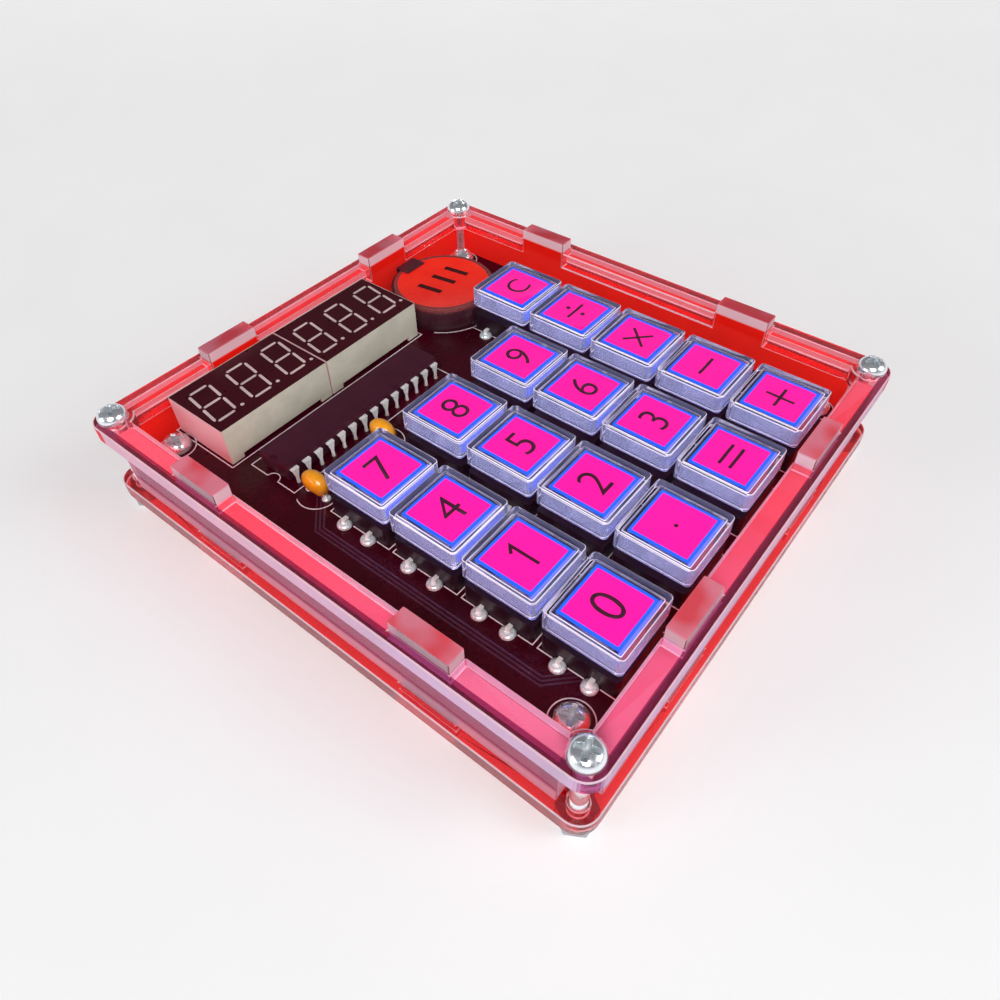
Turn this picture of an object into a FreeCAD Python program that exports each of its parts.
import FreeCAD, Part

import math
import os
import re

import Sketcher

# Desktop calculator: a laser-cut clear case of two plates and four tabbed walls, screwed together around
# a circuit board that carries seventeen push keys, two three-digit displays, a controller chip and a
# coin cell. Millimetres. The origin is the centre of the footprint at the level of the nuts' undersides,
# +X points to the reader's right, +Y towards the display end and +Z up.

DIMENSIONS = {
    "case_width": (91.6, "outer width of both case plates, along X"),
    "case_length": (97.2, "outer length of both case plates, along Y"),
    "plate_thickness": (3.0, "sheet thickness of both case plates"),
    "case_corner_radius": (3.2, "corner rounding of the plates, and radius of the top frame's screw lugs"),
    "window_width": (82.8, "opening of the top frame along X"),
    "window_length": (88.6, "opening of the top frame along Y"),
    "wall_thickness": (3.0, "sheet thickness of the four walls"),
    "wall_height": (10.0, "height of a wall between the two plates"),
    "side_wall_length": (86.4, "length of the left and right walls"),
    "end_wall_length": (80.8, "length of the display end and key end walls"),
    "tab_length": (10.0, "length of every wall tab"),
    "tab_reach": (5.0, "how far a tab reaches out of its wall: through the plate and a little proud"),
    "side_tab_offset": (22.0, "distance of the side walls' tabs from the middle, along Y"),
    "end_tab_offset": (19.2, "distance of the end walls' tabs from the middle, along X"),
    "slot_clearance": (0.05, "gap around a tab in its slot"),
    "case_screw_offset_x": (42.6, "case screw axis from the middle, along X"),
    "case_screw_offset_y": (45.4, "case screw axis from the middle, along Y"),
    "case_screw_length": (18.0, "length of a case screw under its head"),
    "board_screw_offset_x": (37.07, "board screw axis from the middle, along X"),
    "board_screw_offset_y": (40.1, "board screw axis from the middle, along Y"),
    "board_screw_length": (10.0, "length of a board screw under its head"),
    "screw_shank_radius": (1.25, "shank of every screw"),
    "screw_hole_radius": (1.4, "clearance hole for every screw"),
    "screw_head_radius": (2.4, "pan head"),
    "screw_head_height": (2.0, "pan head"),
    "head_rounding": (1.1, "rounding of a pan head's upper edge"),
    "recess_span": (2.8, "tip to tip size of the cross recess"),
    "recess_width": (0.7, "width of the cross recess's arms"),
    "recess_depth": (1.1, "depth of the cross recess"),
    "nut_height": (2.4, "hexagon nut"),
    "nut_corner_distance": (2.887, "hexagon nut, centre to corner"),
    "nut_bore_radius": (1.3, "hexagon nut bore, thread left out"),
    "spacer_radius": (2.75, "outside of a board spacer"),
    "spacer_length": (4.0, "gap between the bottom plate and the board"),
    "board_width": (80.6, "circuit board along X"),
    "board_length": (86.6, "circuit board along Y"),
    "board_thickness": (1.6, "circuit board"),
    "board_corner_radius": (3.0, "circuit board"),
    "column_pitch": (16.8, "key spacing along X"),
    "row_pitch": (13.2, "key spacing along Y"),
    "grid_middle_x": (0.1, "middle of the four key columns"),
    "grid_middle_y": (-10.38, "third key row from the display end"),
    "switch_width": (12.0, "square switch housing"),
    "switch_height": (3.5, "switch housing above the board"),
    "switch_corner_radius": (0.8, "switch housing"),
    "switch_floor": (0.4, "floor thickness under a switch's contact chamber"),
    "chamber_radius": (4.5, "contact chamber inside a switch housing"),
    "chamber_ceiling": (2.2, "height of the contact chamber's ceiling above the board"),
    "stem_bore_radius": (3.45, "guide bore in the housing's top"),
    "stem_radius": (3.4, "round shaft of a switch stem"),
    "stem_flange_radius": (4.2, "flange that keeps a stem in its housing"),
    "stem_flange_height": (0.95, "thickness of the flange"),
    "stem_base_height": (1.15, "underside of a stem at rest, above the board"),
    "stem_shoulder_height": (4.1, "top of the round shaft above the board"),
    "stem_top_height": (7.35, "top of the square end above the board"),
    "stem_square": (3.8, "square end of a stem"),
    "dome_radius": (3.2, "snap dome"),
    "dome_crown_radius": (1.8, "flat of the snap dome"),
    "dome_height": (0.35, "snap dome at rest"),
    "dome_thickness": (0.1, "snap dome"),
    "terminal_width": (0.7, "switch terminal strip"),
    "terminal_thickness": (0.3, "switch terminal strip"),
    "terminal_row_offset": (2.5, "terminals from the key's middle, along Y"),
    "terminal_reach": (6.95, "outside of a bent terminal from the key's middle, along X"),
    "terminal_bend_height": (1.3, "top of a terminal's bend above the board"),
    "lead_tip_depth": (3.0, "how far every lead reaches below the board's upper face"),
    "terminal_hole_radius": (0.5, "board hole for a switch terminal"),
    "cap_width": (12.2, "clear key cap, square"),
    "cap_base_height": (5.2, "lower edge of the clear cap above the board"),
    "cap_height": (3.7, "clear cap from lower edge to top"),
    "cap_wall": (0.8, "side wall of the clear cap"),
    "cap_top_thickness": (0.9, "top of the clear cap"),
    "cap_corner_radius": (0.7, "upright edges of the clear cap"),
    "cap_top_rounding": (0.3, "upper edges of the clear cap"),
    "card_width": (10.0, "printed card, square"),
    "card_thickness": (0.2, "printed card"),
    "carrier_width": (10.4, "clear carrier under the card, square"),
    "carrier_top_height": (7.8, "upper face of the carrier above the board"),
    "carrier_plate": (0.45, "plate of the carrier"),
    "carrier_base_height": (5.5, "lower edge of the carrier's skirt above the board"),
    "carrier_wall": (0.5, "skirt of the carrier"),
    "boss_width": (5.6, "socket boss of the carrier, square"),
    "boss_base_height": (4.4, "lower edge of the socket boss above the board"),
    "socket_width": (3.9, "square socket that grips the stem"),
    "display_width": (22.4, "one three-digit display module, along X"),
    "display_length": (14.0, "display module, along Y"),
    "display_height": (7.2, "display module's face above the board"),
    "display_foot_height": (0.8, "feet under the display module's ends"),
    "display_foot_width": (2.6, "feet under the display module's ends"),
    "display_joint_x": (-11.7, "line where the two display modules meet"),
    "display_half_gap": (0.05, "half of the gap between the two modules"),
    "display_middle_y": (36.1, "middle of the display modules"),
    "display_pin_row": (5.08, "display pins from the module's middle, along Y"),
    "pin_pitch": (2.54, "spacing of chip and display pins"),
    "pin_width": (0.5, "square display pin, and the narrow end of a chip pin"),
    "pin_hole_radius": (0.45, "board hole for display and chip pins"),
    "chip_middle_x": (-13.5, "middle of the controller chip"),
    "chip_middle_y": (21.6, "middle of the controller chip"),
    "chip_length": (35.6, "controller chip along X"),
    "chip_width": (6.6, "controller chip along Y, where its pins leave it"),
    "chip_draft": (0.25, "how far each end and side of the chip leans in"),
    "chip_notch_radius": (0.8, "half-round notch in the chip's left end"),
    "chip_notch_depth": (0.6, "half-round notch in the chip's left end"),
    "chip_base_height": (0.5, "underside of the chip above the board"),
    "chip_height": (3.3, "thickness of the chip"),
    "chip_row_offset": (3.81, "chip pins from the chip's middle, along Y"),
    "chip_pin_thickness": (0.26, "chip pin"),
    "chip_shoulder_height": (2.9, "top of a chip pin's shoulder above the board"),
    "chip_blade_width": (1.45, "wide part of a chip pin"),
    "chip_blade_length": (1.9, "height of a chip pin's tapering part"),
    "cell_middle_x": (22.7, "middle of the coin cell"),
    "cell_middle_y": (32.7, "middle of the coin cell"),
    "cell_radius": (10.0, "coin cell"),
    "cell_can_height": (2.7, "full-width upper part of the coin cell"),
    "cell_step_radius": (8.8, "lower, negative face of the coin cell"),
    "cell_step_height": (0.5, "lower, negative face of the coin cell"),
    "holder_radius": (10.5, "outside of the cell holder"),
    "holder_pocket_radius": (10.15, "pocket of the cell holder"),
    "holder_floor": (1.4, "floor of the cell holder"),
    "holder_height": (3.9, "rim of the cell holder above the board"),
    "contact_width": (5.0, "spring contact over the cell"),
    "contact_thickness": (0.25, "spring contact over the cell"),
    "contact_reach": (3.2, "how far the spring contact reaches over the cell"),
    "contact_gap": (0.05, "gap between the cell and its spring contact"),
    "bead_middle_y": (13.4, "middle of both bead capacitors"),
    "left_bead_x": (-29.9, "left bead capacitor"),
    "right_bead_x": (-14.9, "right bead capacitor"),
    "bead_middle_height": (2.6, "middle of a bead capacitor above the board"),
    "bead_radius_x": (1.6, "half width of a bead capacitor"),
    "bead_radius_y": (2.6, "half length of a bead capacitor"),
    "bead_radius_z": (1.9, "half height of a bead capacitor"),
    "bead_lead_radius": (0.3, "capacitor lead"),
    "bead_lead_offset": (1.9, "capacitor leads from the bead's middle, where they enter it"),
    "bead_hole_radius": (0.4, "board hole for a capacitor lead"),
}

BOTTOM_PLATE_TOP = "nut_height + plate_thickness"
BOARD_BASE = "nut_height + plate_thickness + spacer_length"
BOARD_TOP = "nut_height + plate_thickness + spacer_length + board_thickness"
FRAME_BASE = "nut_height + plate_thickness + wall_height"
FRAME_TOP = "nut_height + 2 * plate_thickness + wall_height"

# Key names by row, from the display end down, each with its column counted from the left.
KEYS = (
    ("clear", 3, 0),
    ("seven", 0, 1), ("eight", 1, 1), ("nine", 2, 1), ("divide", 3, 1),
    ("four", 0, 2), ("five", 1, 2), ("six", 2, 2), ("times", 3, 2),
    ("one", 0, 3), ("two", 1, 3), ("three", 2, 3), ("minus", 3, 3),
    ("zero", 0, 4), ("point", 1, 4), ("equals", 2, 4), ("plus", 3, 4),
)
GRID_MIDDLE_ROW = 2
GRID_MIDDLE_COLUMN = 1.5

SIDES = (-1, 1)
CORNERS = tuple((side, end) for side in SIDES for end in SIDES)
CHIP_PINS_PER_ROW = 14
DISPLAY_PINS_PER_ROW = 6
HALF_TURN = 180.0
QUARTER_TURN = 90.0
START_RING = 10.0
LEVEL_TOLERANCE = 1e-6
UPRIGHT_LIMIT = 0.9
STANDING_POCKET = "ThroughAll"

X_AXIS = FreeCAD.Vector(1, 0, 0)
Z_AXIS = FreeCAD.Vector(0, 0, 1)
WORD = re.compile(r"[a-z_]+")


# ---- the sheet, and binding objects to it ----

def make_sheet(doc):
    """Put every driving dimension into the spreadsheet, one aliased number per row."""
    sheet = doc.addObject("Spreadsheet::Sheet", "Dimensions")
    for row, (name, (value, note)) in enumerate(DIMENSIONS.items(), start=1):
        sheet.set(f"A{row}", name)
        sheet.set(f"B{row}", str(value))
        sheet.setAlias(f"B{row}", name)
        sheet.set(f"C{row}", note)
    doc.recompute()
    return sheet


def formula(text):
    """Spell out the sheet's name in front of every dimension used in a formula."""
    def spell(found):
        word = found.group(0)
        return "Dimensions." + word if word in DIMENSIONS else word
    return WORD.sub(spell, text)


def bind(item, prop, text):
    item.setExpression(prop, formula(text))


def place(item, x="0", y="0", z="0"):
    bind(item, "Placement.Base.x", x)
    bind(item, "Placement.Base.y", y)
    bind(item, "Placement.Base.z", z)


# ---- Part primitives and booleans ----

def size_box(item, centre, size, base):
    """Give a box its size, centre it on a point and stand it on a height."""
    bind(item, "Length", size[0])
    bind(item, "Width", size[1])
    bind(item, "Height", size[2])
    place(item, f"({centre[0]}) - ({size[0]}) / 2", f"({centre[1]}) - ({size[1]}) / 2", base)
    return item


def size_cylinder(item, centre, radius, base, height):
    bind(item, "Radius", radius)
    bind(item, "Height", height)
    place(item, centre[0], centre[1], base)
    return item


def add_box(doc, name, centre, size, base):
    return size_box(doc.addObject("Part::Box", name), centre, size, base)


def add_cylinder(doc, name, centre, radius, base, height):
    return size_cylinder(doc.addObject("Part::Cylinder", name), centre, radius, base, height)


def add_cone(doc, name, lower_radius, upper_radius, base, height):
    item = doc.addObject("Part::Cone", name)
    bind(item, "Radius1", lower_radius)
    bind(item, "Radius2", upper_radius)
    bind(item, "Height", height)
    place(item, z=base)
    return item


def add_tapered_block(doc, name, base_size, top_size, height, centre, base):
    """A block that narrows upwards, centred on a point; the wedge's own Y axis is stood upright."""
    item = doc.addObject("Part::Wedge", name)
    bind(item, "Xmin", f"-({base_size[0]}) / 2")
    bind(item, "Xmax", f"({base_size[0]}) / 2")
    bind(item, "Zmin", f"-({base_size[1]}) / 2")
    bind(item, "Zmax", f"({base_size[1]}) / 2")
    bind(item, "X2min", f"-({top_size[0]}) / 2")
    bind(item, "X2max", f"({top_size[0]}) / 2")
    bind(item, "Z2min", f"-({top_size[1]}) / 2")
    bind(item, "Z2max", f"({top_size[1]}) / 2")
    bind(item, "Ymin", "0")
    bind(item, "Ymax", height)
    item.Placement.Rotation = FreeCAD.Rotation(X_AXIS, QUARTER_TURN)
    place(item, centre[0], centre[1], base)
    return item


def cut(doc, name, base, tool):
    item = doc.addObject("Part::Cut", name)
    item.Base = base
    item.Tool = tool
    return item


def fuse(doc, name, pieces):
    item = doc.addObject("Part::MultiFuse", name)
    item.Shapes = pieces
    return item


def group(doc, name, pieces):
    """Hold several solids as one object without joining them."""
    item = doc.addObject("Part::Compound", name)
    item.Links = pieces
    return item


def copy_at(doc, name, master, x="0", y="0", z="0", turn=0.0):
    """A placed copy of a master piece, optionally turned about Z."""
    item = group(doc, name, [master])
    item.Placement.Rotation = FreeCAD.Rotation(Z_AXIS, turn)
    place(item, x, y, z)
    return item


# ---- bodies and sketches ----

def add_body(doc, name):
    return doc.addObject("PartDesign::Body", name)


def add_sketch(body, name, role):
    """A sketch attached to one of its own body's origin planes."""
    sketch = body.newObject("Sketcher::SketchObject", name)
    plane = [item for item in body.Origin.OriginFeatures if item.Role == role][0]
    sketch.AttachmentSupport = [(plane, "")]
    sketch.MapMode = "FlatFace"
    return sketch


def fix_point(sketch, geometry, point, x, y, start):
    """Hold one point of a sketch at a distance from the origin along both axes."""
    for kind, text, value in (("DistanceX", x, start.x), ("DistanceY", y, start.y)):
        index = sketch.addConstraint(Sketcher.Constraint(kind, -1, 1, geometry, point, value))
        bind(sketch, f"Constraints[{index}]", text)


def draw_polygon(sketch, corners):
    """A closed outline through the given corners, each pair of coordinates bound to the sheet."""
    first = sketch.GeometryCount
    count = len(corners)
    steps = [2 * math.pi * index / count for index in range(count)]
    ring = [FreeCAD.Vector(START_RING * math.cos(step), START_RING * math.sin(step), 0) for step in steps]
    for index in range(count):
        sketch.addGeometry(Part.LineSegment(ring[index], ring[(index + 1) % count]), False)
    for index in range(count):
        following = first + (index + 1) % count
        sketch.addConstraint(Sketcher.Constraint("Coincident", first + index, 2, following, 1))
    for index, (x, y) in enumerate(corners):
        fix_point(sketch, first + index, 1, x, y, ring[index])


def draw_rectangle(sketch, centre, size):
    low_x = f"({centre[0]}) - ({size[0]}) / 2"
    high_x = f"({centre[0]}) + ({size[0]}) / 2"
    low_y = f"({centre[1]}) - ({size[1]}) / 2"
    high_y = f"({centre[1]}) + ({size[1]}) / 2"
    draw_polygon(sketch, [(low_x, low_y), (high_x, low_y), (high_x, high_y), (low_x, high_y)])


def draw_circle(sketch, centre, radius):
    start = FreeCAD.Vector(START_RING, START_RING, 0)
    index = sketch.addGeometry(Part.Circle(start, Z_AXIS, 1.0), False)
    fix_point(sketch, index, 3, centre[0], centre[1], start)
    size = sketch.addConstraint(Sketcher.Constraint("Radius", index, 1.0))
    bind(sketch, f"Constraints[{size}]", radius)


def pad(body, sketch, name, length):
    item = body.newObject("PartDesign::Pad", name)
    item.Profile = sketch
    bind(item, "Length", length)
    return item


def pocket(doc, body, sketch, name):
    """Cut a sketch on the body's lower face upwards through the whole body, and check that it cut."""
    doc.recompute()
    before = body.Shape.Volume
    item = body.newObject("PartDesign::Pocket", name)
    item.Profile = sketch
    item.Type = STANDING_POCKET
    item.Reversed = True
    doc.recompute()
    if body.Shape.Volume >= before:
        raise RuntimeError(f"{name} removed nothing")
    return item


def upright_edges(shape):
    """Names of the straight edges that run along Z."""
    names = []
    for index, edge in enumerate(shape.Edges, start=1):
        if abs(edge.tangentAt(edge.FirstParameter).z) > UPRIGHT_LIMIT:
            names.append(f"Edge{index}")
    return names


def top_edges(shape):
    """Names of the edges that lie wholly in the shape's highest plane."""
    names = []
    for index, edge in enumerate(shape.Edges, start=1):
        if edge.BoundBox.ZMin > shape.BoundBox.ZMax - LEVEL_TOLERANCE:
            names.append(f"Edge{index}")
    return names


def round_edges(doc, body, base, edges_of, name, radius):
    doc.recompute()
    item = body.newObject("PartDesign::Fillet", name)
    item.Base = (base, edges_of(base.Shape))
    bind(item, "Radius", radius)
    doc.recompute()
    return item


def body_box(body, name, kind, size, base):
    """A box feature, centred on the body's Z axis, that adds or removes material."""
    return size_box(body.newObject(kind, name), ("0", "0"), size, base)


def rounded_plate(doc, name, size, thickness, radius):
    """A flat plate with rounded corners, its lower face on the body's XY plane."""
    body = add_body(doc, name)
    outline = add_sketch(body, name + "Outline", "XY_Plane")
    draw_rectangle(outline, ("0", "0"), size)
    sheet = pad(body, outline, name + "Sheet", thickness)
    round_edges(doc, body, sheet, upright_edges, name + "Corners", radius)
    return body


# ---- case ----

def corner_points(offset_x, offset_y):
    return [(f"{side} * {offset_x}", f"{end} * {offset_y}") for side, end in CORNERS]


def draw_corner_circles(sketch, offset_x, offset_y, radius):
    for centre in corner_points(offset_x, offset_y):
        draw_circle(sketch, centre, radius)


def draw_tab_slots(sketch):
    """Eight slots, two for each wall, with a small gap around the tabs."""
    across = "wall_thickness + 2 * slot_clearance"
    along = "tab_length + 2 * slot_clearance"
    for side, end in CORNERS:
        side_middle = f"{side} * (window_width + wall_thickness) / 2"
        end_middle = f"{end} * (window_length + wall_thickness) / 2"
        draw_rectangle(sketch, (side_middle, f"{end} * side_tab_offset"), (across, along))
        draw_rectangle(sketch, (f"{side} * end_tab_offset", end_middle), (along, across))


def make_bottom_plate(doc):
    body = rounded_plate(doc, "BottomPlate", ("case_width", "case_length"), "plate_thickness",
                         "case_corner_radius")
    holes = add_sketch(body, "BottomPlateHoles", "XY_Plane")
    draw_corner_circles(holes, "case_screw_offset_x", "case_screw_offset_y", "screw_hole_radius")
    draw_corner_circles(holes, "board_screw_offset_x", "board_screw_offset_y", "screw_hole_radius")
    pocket(doc, body, holes, "BottomPlateDrilled")
    slots = add_sketch(body, "BottomPlateSlots", "XY_Plane")
    draw_tab_slots(slots)
    pocket(doc, body, slots, "BottomPlateSlotted")
    place(body, z="nut_height")
    return body


def make_top_frame(doc):
    """The upper plate: a window over the whole board, with round lugs left around the case screws."""
    body = rounded_plate(doc, "TopFrame", ("case_width", "case_length"), "plate_thickness",
                         "case_corner_radius")
    window = add_sketch(body, "TopFrameWindow", "XY_Plane")
    draw_rectangle(window, ("0", "0"), ("window_width", "window_length"))
    pocket(doc, body, window, "TopFrameOpened")
    lugs = add_sketch(body, "TopFrameLugs", "XY_Plane")
    draw_corner_circles(lugs, "case_screw_offset_x", "case_screw_offset_y", "case_corner_radius")
    pad(body, lugs, "TopFrameLugged", "plate_thickness")
    holes = add_sketch(body, "TopFrameHoles", "XY_Plane")
    draw_corner_circles(holes, "case_screw_offset_x", "case_screw_offset_y", "screw_hole_radius")
    pocket(doc, body, holes, "TopFrameDrilled")
    slots = add_sketch(body, "TopFrameSlots", "XY_Plane")
    draw_tab_slots(slots)
    pocket(doc, body, slots, "TopFrameSlotted")
    place(body, z=FRAME_BASE)
    return body


def wall_corners(length, offset):
    """Outline of a wall with two tabs along its lower edge and two along its upper edge."""
    low_reach = "-tab_reach"
    high_reach = "wall_height + tab_reach"
    stations = [f"-{offset} - tab_length / 2", f"-{offset} + tab_length / 2",
                f"{offset} - tab_length / 2", f"{offset} + tab_length / 2"]
    lower = [(f"-{length} / 2", "0")]
    for start, finish in (stations[:2], stations[2:]):
        lower += [(start, "0"), (start, low_reach), (finish, low_reach), (finish, "0")]
    lower += [(f"{length} / 2", "0")]
    upper = [(f"{length} / 2", "wall_height")]
    for finish, start in (stations[2:], stations[:2]):
        upper += [(start, "wall_height"), (start, high_reach)]
        upper += [(finish, high_reach), (finish, "wall_height")]
    upper += [(f"-{length} / 2", "wall_height")]
    return lower + upper


def make_wall(doc, name, role, length, offset):
    """A tabbed wall in the plane of its profile, thickened to one side."""
    body = add_body(doc, name)
    profile = add_sketch(body, name + "Profile", role)
    draw_polygon(profile, wall_corners(length, offset))
    pad(body, profile, name + "Sheet", "wall_thickness")
    return body


def make_walls(doc):
    """Side walls thicken towards +X and end walls towards -Y from where their profiles stand."""
    left = make_wall(doc, "LeftWall", "YZ_Plane", "side_wall_length", "side_tab_offset")
    place(left, x="-window_width / 2 - wall_thickness", z=BOTTOM_PLATE_TOP)
    right = make_wall(doc, "RightWall", "YZ_Plane", "side_wall_length", "side_tab_offset")
    place(right, x="window_width / 2", z=BOTTOM_PLATE_TOP)
    display_end = make_wall(doc, "DisplayEndWall", "XZ_Plane", "end_wall_length", "end_tab_offset")
    place(display_end, y="window_length / 2 + wall_thickness", z=BOTTOM_PLATE_TOP)
    key_end = make_wall(doc, "KeyEndWall", "XZ_Plane", "end_wall_length", "end_tab_offset")
    place(key_end, y="-window_length / 2", z=BOTTOM_PLATE_TOP)
    return {"left_wall": left, "right_wall": right,
            "display_end_wall": display_end, "key_end_wall": key_end}


# ---- fasteners ----

def make_screw(doc, name, length):
    """A pan head screw with a cross recess; the head's bearing face is at height zero."""
    head = add_body(doc, name + "Head")
    disc = size_cylinder(head.newObject("PartDesign::AdditiveCylinder", name + "Disc"), ("0", "0"),
                         "screw_head_radius", "0", "screw_head_height")
    round_edges(doc, head, disc, top_edges, name + "HeadRounding", "head_rounding")
    recess_base = "screw_head_height - recess_depth"
    body_box(head, name + "RecessAcross", "PartDesign::SubtractiveBox",
             ("recess_span", "recess_width", "recess_depth"), recess_base)
    body_box(head, name + "RecessAlong", "PartDesign::SubtractiveBox",
             ("recess_width", "recess_span", "recess_depth"), recess_base)
    shank = add_cylinder(doc, name + "Shank", ("0", "0"), "screw_shank_radius", f"-({length})", length)
    return fuse(doc, name, [head, shank])


def make_nut(doc, name):
    hexagon = doc.addObject("Part::Prism", name + "Hexagon")
    hexagon.Polygon = 6
    bind(hexagon, "Circumradius", "nut_corner_distance")
    bind(hexagon, "Height", "nut_height")
    bore = add_cylinder(doc, name + "Bore", ("0", "0"), "nut_bore_radius", "0", "nut_height")
    return cut(doc, name, hexagon, bore)


def make_spacer(doc):
    tube = add_cylinder(doc, "SpacerTube", ("0", "0"), "spacer_radius", "0", "spacer_length")
    bore = add_cylinder(doc, "SpacerBore", ("0", "0"), "screw_hole_radius", "0", "spacer_length")
    return cut(doc, "Spacer", tube, bore)


def set_of_four(doc, name, master, offset_x, offset_y, height):
    """Four copies of a fastener, one at each corner of a rectangle."""
    copies = []
    for index, (x, y) in enumerate(corner_points(offset_x, offset_y), start=1):
        copies.append(copy_at(doc, f"{name}{index}", master, x, y, height))
    return group(doc, name, copies)


def make_fasteners(doc):
    case_screw = make_screw(doc, "CaseScrew", "case_screw_length")
    board_screw = make_screw(doc, "BoardScrew", "board_screw_length")
    nut = make_nut(doc, "Nut")
    spacer = make_spacer(doc)
    case_spots = ("case_screw_offset_x", "case_screw_offset_y")
    board_spots = ("board_screw_offset_x", "board_screw_offset_y")
    return {
        "case_screws": set_of_four(doc, "CaseScrews", case_screw, *case_spots, FRAME_TOP),
        "case_nuts": set_of_four(doc, "CaseNuts", nut, *case_spots, "0"),
        "board_screws": set_of_four(doc, "BoardScrews", board_screw, *board_spots, BOARD_TOP),
        "board_nuts": set_of_four(doc, "BoardNuts", nut, *board_spots, "0"),
        "board_spacers": set_of_four(doc, "BoardSpacers", spacer, *board_spots, BOTTOM_PLATE_TOP),
    }


# ---- where the board's parts stand ----

def key_spot(column, row):
    x = f"grid_middle_x + {column - GRID_MIDDLE_COLUMN} * column_pitch"
    y = f"grid_middle_y + {GRID_MIDDLE_ROW - row} * row_pitch"
    return x, y


def pin_stations(middle, count):
    """Positions of a row of pins spaced evenly about a middle."""
    return [f"{middle} + {index - (count - 1) / 2} * pin_pitch" for index in range(count)]


def display_middles():
    return [f"display_joint_x + {side} * (display_width / 2 + display_half_gap)" for side in SIDES]


def display_pin_spots():
    spots = []
    for middle in display_middles():
        for side in SIDES:
            y = f"display_middle_y + {side} * display_pin_row"
            spots += [(x, y) for x in pin_stations(middle, DISPLAY_PINS_PER_ROW)]
    return spots


def chip_pin_spots(side):
    y = f"chip_middle_y + {side} * chip_row_offset"
    return [(x, y) for x in pin_stations("chip_middle_x", CHIP_PINS_PER_ROW)]


def bead_lead_spots(middle_x):
    return [(middle_x, f"bead_middle_y + {side} * bead_lead_offset") for side in SIDES]


# ---- circuit board ----

def hole_set(doc, name, spots, radius):
    """Cylinders that pierce the board at each spot."""
    return [add_cylinder(doc, f"{name}{index}", spot, radius, BOARD_BASE, "board_thickness")
            for index, spot in enumerate(spots, start=1)]


def terminal_spots():
    x = "terminal_reach - terminal_thickness / 2"
    return [(f"{side} * ({x})", f"{end} * terminal_row_offset") for side, end in CORNERS]


def make_board(doc):
    body = rounded_plate(doc, "BoardBlank", ("board_width", "board_length"), "board_thickness",
                         "board_corner_radius")
    screw_holes = add_sketch(body, "BoardScrewHoles", "XY_Plane")
    draw_corner_circles(screw_holes, "board_screw_offset_x", "board_screw_offset_y",
                        "screw_hole_radius")
    pocket(doc, body, screw_holes, "BoardDrilled")
    place(body, z=BOARD_BASE)
    one_switch = group(doc, "SwitchHoles", hole_set(doc, "SwitchHole", terminal_spots(),
                                                    "terminal_hole_radius"))
    tools = [copy_at(doc, "SwitchHoles" + name.title(), one_switch, *key_spot(column, row))
             for name, column, row in KEYS]
    tools += hole_set(doc, "DisplayHole", display_pin_spots(), "pin_hole_radius")
    tools += hole_set(doc, "ChipHole", chip_pin_spots(-1) + chip_pin_spots(1), "pin_hole_radius")
    tools += hole_set(doc, "BeadHole", bead_lead_spots("left_bead_x") + bead_lead_spots("right_bead_x"),
                      "bead_hole_radius")
    return cut(doc, "CircuitBoard", body, group(doc, "LeadHoles", tools))


# ---- switches and keys ----

def above_board(height):
    return f"{BOARD_TOP} + {height}"


def make_switch_housing(doc):
    """A square housing with a round contact chamber and a guide bore for the stem."""
    body = add_body(doc, "SwitchHousing")
    block = body_box(body, "SwitchBlock", "PartDesign::AdditiveBox",
                     ("switch_width", "switch_width", "switch_height"), "0")
    round_edges(doc, body, block, upright_edges, "SwitchCorners", "switch_corner_radius")
    size_cylinder(body.newObject("PartDesign::SubtractiveCylinder", "SwitchChamber"), ("0", "0"),
                  "chamber_radius", "switch_floor", "chamber_ceiling - switch_floor")
    size_cylinder(body.newObject("PartDesign::SubtractiveCylinder", "SwitchGuide"), ("0", "0"),
                  "stem_bore_radius", "chamber_ceiling", "switch_height - chamber_ceiling")
    return body


def make_dome(doc):
    """A shallow conical snap disc standing on the chamber floor."""
    outside = add_cone(doc, "DomeOutside", "dome_radius", "dome_crown_radius", "0", "dome_height")
    inside = add_cone(doc, "DomeInside", "dome_radius - 2 * dome_thickness",
                      "dome_crown_radius - dome_thickness", "0", "dome_height - dome_thickness")
    return cut(doc, "Dome", outside, inside)


def make_terminal(doc, name, side, end):
    """A strip that leaves the housing's side, bends down and passes through the board."""
    y = f"{end} * terminal_row_offset"
    reach = "terminal_reach - switch_width / 2"
    strip_base = "terminal_bend_height - terminal_thickness"
    strip = add_box(doc, name + "Strip", (f"{side} * (switch_width / 2 + ({reach}) / 2)", y),
                    (reach, "terminal_width", "terminal_thickness"), strip_base)
    leg = add_box(doc, name + "Leg", (f"{side} * (terminal_reach - terminal_thickness / 2)", y),
                  ("terminal_thickness", "terminal_width", "terminal_bend_height + lead_tip_depth"),
                  "-lead_tip_depth")
    return fuse(doc, name, [strip, leg])


def make_stem(doc):
    """A flanged round shaft with a square end that the key cap's carrier grips."""
    flange = add_cylinder(doc, "StemFlange", ("0", "0"), "stem_flange_radius", "stem_base_height",
                          "stem_flange_height")
    shaft = add_cylinder(doc, "StemShaft", ("0", "0"), "stem_radius", "stem_base_height",
                         "stem_shoulder_height - stem_base_height")
    square = add_box(doc, "StemSquare", ("0", "0"),
                     ("stem_square", "stem_square", "stem_top_height - stem_shoulder_height"),
                     "stem_shoulder_height")
    return fuse(doc, "Stem", [flange, shaft, square])


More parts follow.
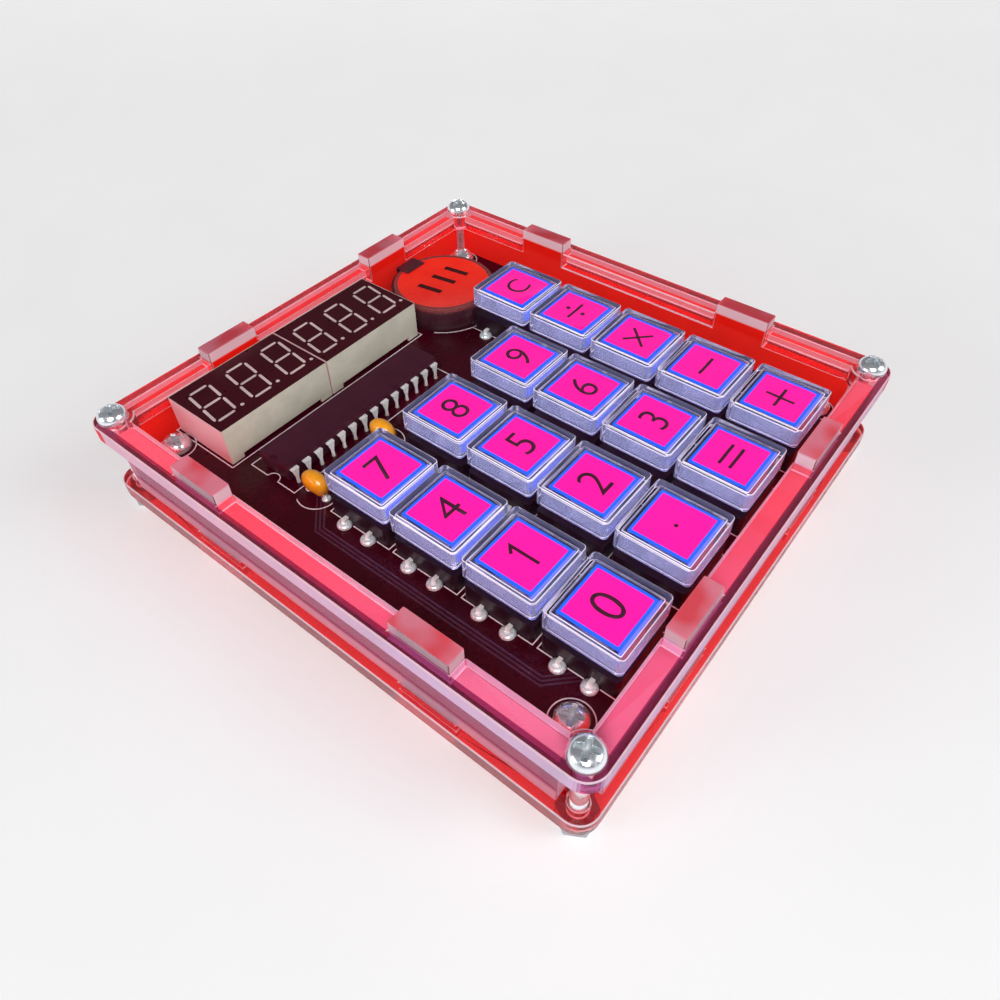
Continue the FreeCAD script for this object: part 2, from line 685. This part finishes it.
def make_cap_cover(doc):
    """The clear cap: a square shell, open below."""
    body = add_body(doc, "CapCover")
    block = body_box(body, "CapBlock", "PartDesign::AdditiveBox",
                     ("cap_width", "cap_width", "cap_height"), "cap_base_height")
    corners = round_edges(doc, body, block, upright_edges, "CapCorners", "cap_corner_radius")
    round_edges(doc, body, corners, top_edges, "CapTopEdges", "cap_top_rounding")
    inside = "cap_width - 2 * cap_wall"
    body_box(body, "CapHollow", "PartDesign::SubtractiveBox",
             (inside, inside, "cap_height - cap_top_thickness"), "cap_base_height")
    return body


def make_carrier(doc):
    """The clear carrier inside the cap: a plate with a skirt and a square socket boss."""
    body = add_body(doc, "Carrier")
    skirt_height = "carrier_top_height - carrier_base_height"
    plate_base = "carrier_top_height - carrier_plate"
    body_box(body, "CarrierBlock", "PartDesign::AdditiveBox",
             ("carrier_width", "carrier_width", skirt_height), "carrier_base_height")
    inside = "carrier_width - 2 * carrier_wall"
    body_box(body, "CarrierHollow", "PartDesign::SubtractiveBox",
             (inside, inside, f"{skirt_height} - carrier_plate"), "carrier_base_height")
    boss_height = f"{plate_base} - boss_base_height"
    body_box(body, "CarrierBoss", "PartDesign::AdditiveBox",
             ("boss_width", "boss_width", boss_height), "boss_base_height")
    body_box(body, "CarrierSocket", "PartDesign::SubtractiveBox",
             ("socket_width", "socket_width", boss_height), "boss_base_height")
    return body


def make_switches(doc):
    """The fixed parts of all switches, grouped by kind, one copy at every key."""
    housing = make_switch_housing(doc)
    dome = make_dome(doc)
    terminals = group(doc, "SwitchTerminalSet",
                      [make_terminal(doc, f"Terminal{index}", side, end)
                       for index, (side, end) in enumerate(CORNERS, start=1)])
    kinds = (("switch_housings", "Housing", housing, BOARD_TOP),
             ("switch_domes", "Dome", dome, above_board("switch_floor")),
             ("switch_terminals", "Terminals", terminals, BOARD_TOP))
    nodes = {}
    for node, word, master, height in kinds:
        copies = [copy_at(doc, word + name.title(), master, *key_spot(column, row), height)
                  for name, column, row in KEYS]
        nodes[node] = group(doc, word + "Group", copies)
    return nodes


def make_keys(doc):
    """Every key: its clear cap with printed card and carrier, and its stem."""
    card = add_box(doc, "Card", ("0", "0"), ("card_width", "card_width", "card_thickness"),
                   "carrier_top_height")
    cap_pieces = [make_cap_cover(doc), card, make_carrier(doc)]
    stem = make_stem(doc)
    nodes = {}
    for name, column, row in KEYS:
        x, y = key_spot(column, row)
        cap = group(doc, "Cap" + name.title(), cap_pieces)
        place(cap, x, y, BOARD_TOP)
        nodes["key_cap_" + name] = cap
        nodes["key_stem_" + name] = copy_at(doc, "Stem" + name.title(), stem, x, y, BOARD_TOP)
    return nodes


# ---- display, chip, cell and capacitors ----

def make_display(doc, name, middle_x):
    """A module whose underside is raised between two feet."""
    centre = (middle_x, "display_middle_y")
    block = add_box(doc, name + "Block", centre,
                    ("display_width", "display_length", "display_height - display_foot_height"),
                    above_board("display_foot_height"))
    feet = []
    for side in SIDES:
        foot_x = f"{middle_x} + {side} * (display_width - display_foot_width) / 2"
        feet.append(add_box(doc, f"{name}Foot{len(feet) + 1}", (foot_x, "display_middle_y"),
                            ("display_foot_width", "display_length", "display_foot_height"), BOARD_TOP))
    return fuse(doc, name, [block] + feet)


def make_display_pins(doc):
    """Square pins that hang from the raised undersides of both display modules."""
    base = f"{BOARD_TOP} - lead_tip_depth"
    size = ("pin_width", "pin_width", "display_foot_height + lead_tip_depth")
    pins = [add_box(doc, f"DisplayPin{index}", spot, size, base)
            for index, spot in enumerate(display_pin_spots(), start=1)]
    return group(doc, "DisplayPins", pins)


def make_chip(doc):
    """A moulded block that leans in above and below the band its pins leave from, notched at one end."""
    centre = ("chip_middle_x", "chip_middle_y")
    full = ("chip_length", "chip_width")
    drafted = ("chip_length - 2 * chip_draft", "chip_width - 2 * chip_draft")
    band_base = "chip_shoulder_height - chip_pin_thickness"
    chip_top = "chip_base_height + chip_height"
    lower = add_tapered_block(doc, "ChipLower", drafted, full, f"{band_base} - chip_base_height",
                              centre, above_board("chip_base_height"))
    band = add_box(doc, "ChipBand", centre, (*full, "chip_pin_thickness"), above_board(band_base))
    upper = add_tapered_block(doc, "ChipUpper", full, drafted, f"{chip_top} - chip_shoulder_height",
                              centre, above_board("chip_shoulder_height"))
    block = fuse(doc, "ChipBlock", [lower, band, upper])
    notch_x = "chip_middle_x - chip_length / 2 + chip_draft"
    notch = add_cylinder(doc, "ChipNotch", (notch_x, "chip_middle_y"), "chip_notch_radius",
                         above_board(f"{chip_top} - chip_notch_depth"), "chip_notch_depth")
    return cut(doc, "Chip", block, notch)


def make_chip_pin(doc):
    """One chip pin, bent down at its row: a shoulder, a tapering blade and a narrow leg."""
    reach = "chip_row_offset - chip_width / 2"
    shoulder = add_box(doc, "PinShoulder", ("0", f"({reach}) / 2"),
                       ("chip_blade_width", reach, "chip_pin_thickness"),
                       "chip_shoulder_height - chip_pin_thickness")
    blade = add_tapered_block(doc, "PinBlade", ("pin_width", "chip_pin_thickness"),
                              ("chip_blade_width", "chip_pin_thickness"), "chip_blade_length",
                              ("0", "0"), "chip_shoulder_height - chip_blade_length")
    leg = add_box(doc, "PinLeg", ("0", "0"),
                  ("pin_width", "chip_pin_thickness",
                   "chip_shoulder_height - chip_blade_length + lead_tip_depth"), "-lead_tip_depth")
    return fuse(doc, "ChipPin", [shoulder, blade, leg])


def make_chip_pins(doc):
    """Both rows of chip pins; the display side row is turned round to face the chip."""
    master = make_chip_pin(doc)
    pins = []
    for side, turn in ((-1, 0.0), (1, HALF_TURN)):
        for x, y in chip_pin_spots(side):
            pins.append(copy_at(doc, f"ChipPin{len(pins) + 1}", master, x, y, BOARD_TOP, turn))
    return group(doc, "ChipPins", pins)


def make_cell(doc):
    centre = ("cell_middle_x", "cell_middle_y")
    step = add_cylinder(doc, "CellStep", centre, "cell_step_radius", above_board("holder_floor"),
                        "cell_step_height")
    can = add_cylinder(doc, "CellCan", centre, "cell_radius",
                       above_board("holder_floor + cell_step_height"), "cell_can_height")
    return fuse(doc, "CoinCell", [step, can])


def make_holder(doc):
    """A round cup with a gap in its rim for the spring contact."""
    centre = ("cell_middle_x", "cell_middle_y")
    cup = add_cylinder(doc, "HolderCup", centre, "holder_radius", BOARD_TOP, "holder_height")
    inside = add_cylinder(doc, "HolderPocket", centre, "holder_pocket_radius",
                          above_board("holder_floor"), "holder_height - holder_floor")
    gap_width = "contact_width + 4 * contact_gap"
    gap = add_box(doc, "HolderGap", ("cell_middle_x", "cell_middle_y + holder_radius"),
                  (gap_width, "2 * (holder_radius - cell_radius)", "holder_height"), BOARD_TOP)
    return cut(doc, "CellHolder", cut(doc, "HolderHollow", cup, inside), gap)


def make_contact(doc):
    """A strip that stands in the holder's gap and folds over the cell's edge."""
    cell_top = "holder_floor + cell_step_height + cell_can_height"
    outside = "cell_middle_y + holder_radius"
    upright = add_box(doc, "ContactUpright", ("cell_middle_x", f"{outside} - contact_thickness / 2"),
                      ("contact_width", "contact_thickness",
                       f"{cell_top} + contact_gap + contact_thickness"), BOARD_TOP)
    tongue = add_box(doc, "ContactTongue", ("cell_middle_x", f"{outside} - contact_reach / 2"),
                     ("contact_width", "contact_reach", "contact_thickness"),
                     above_board(f"{cell_top} + contact_gap"))
    return fuse(doc, "CellContact", [upright, tongue])


def make_bead(doc, name, middle_x):
    """A bead capacitor: a rounded drop on two leads that pass through the board."""
    drop = doc.addObject("Part::Ellipsoid", name + "Drop")
    bind(drop, "Radius1", "bead_radius_z")
    bind(drop, "Radius2", "bead_radius_x")
    bind(drop, "Radius3", "bead_radius_y")
    place(drop, middle_x, "bead_middle_y", above_board("bead_middle_height"))
    leads = [add_cylinder(doc, f"{name}Lead{index}", spot, "bead_lead_radius",
                          f"{BOARD_TOP} - lead_tip_depth", "bead_middle_height + lead_tip_depth")
             for index, spot in enumerate(bead_lead_spots(middle_x), start=1)]
    return fuse(doc, name, [drop] + leads)


def make_board_parts(doc):
    left_middle, right_middle = display_middles()
    return {
        "circuit_board": make_board(doc),
        "display_left": make_display(doc, "DisplayLeft", left_middle),
        "display_right": make_display(doc, "DisplayRight", right_middle),
        "display_pins": make_display_pins(doc),
        "controller_chip": make_chip(doc),
        "controller_pins": make_chip_pins(doc),
        "coin_cell": make_cell(doc),
        "cell_holder": make_holder(doc),
        "cell_contact": make_contact(doc),
        "bead_capacitor_left": make_bead(doc, "BeadLeft", "left_bead_x"),
        "bead_capacitor_right": make_bead(doc, "BeadRight", "right_bead_x"),
    }


# ---- the whole model ----

def build(doc):
    """Make every sub-part and label it with its node's name."""
    make_sheet(doc)
    nodes = {"bottom_plate": make_bottom_plate(doc), "top_frame": make_top_frame(doc)}
    nodes.update(make_walls(doc))
    nodes.update(make_fasteners(doc))
    nodes.update(make_board_parts(doc))
    nodes.update(make_switches(doc))
    nodes.update(make_keys(doc))
    for node, item in nodes.items():
        item.Label = node
    doc.recompute()
    return nodes


def check(doc, nodes):
    """Stop before writing anything if an object failed or a sub-part's shape is unusable."""
    for item in doc.Objects:
        if "Invalid" in item.State or "Error" in item.State:
            raise RuntimeError(f"{item.Name} failed: {item.State}")
    for node, item in nodes.items():
        if item.Shape.isNull() or not item.Shape.isValid() or not item.Shape.Solids:
            raise RuntimeError(f"{node} has no valid shape")


def export(nodes):
    os.makedirs("parts", exist_ok=True)
    for node, item in nodes.items():
        item.Shape.exportStep(os.path.join("parts", node + ".step"))


def main():
    doc = FreeCAD.newDocument("Calculator")
    nodes = build(doc)
    check(doc, nodes)
    export(nodes)
    print(f"{len(nodes)} sub-parts written")


main()
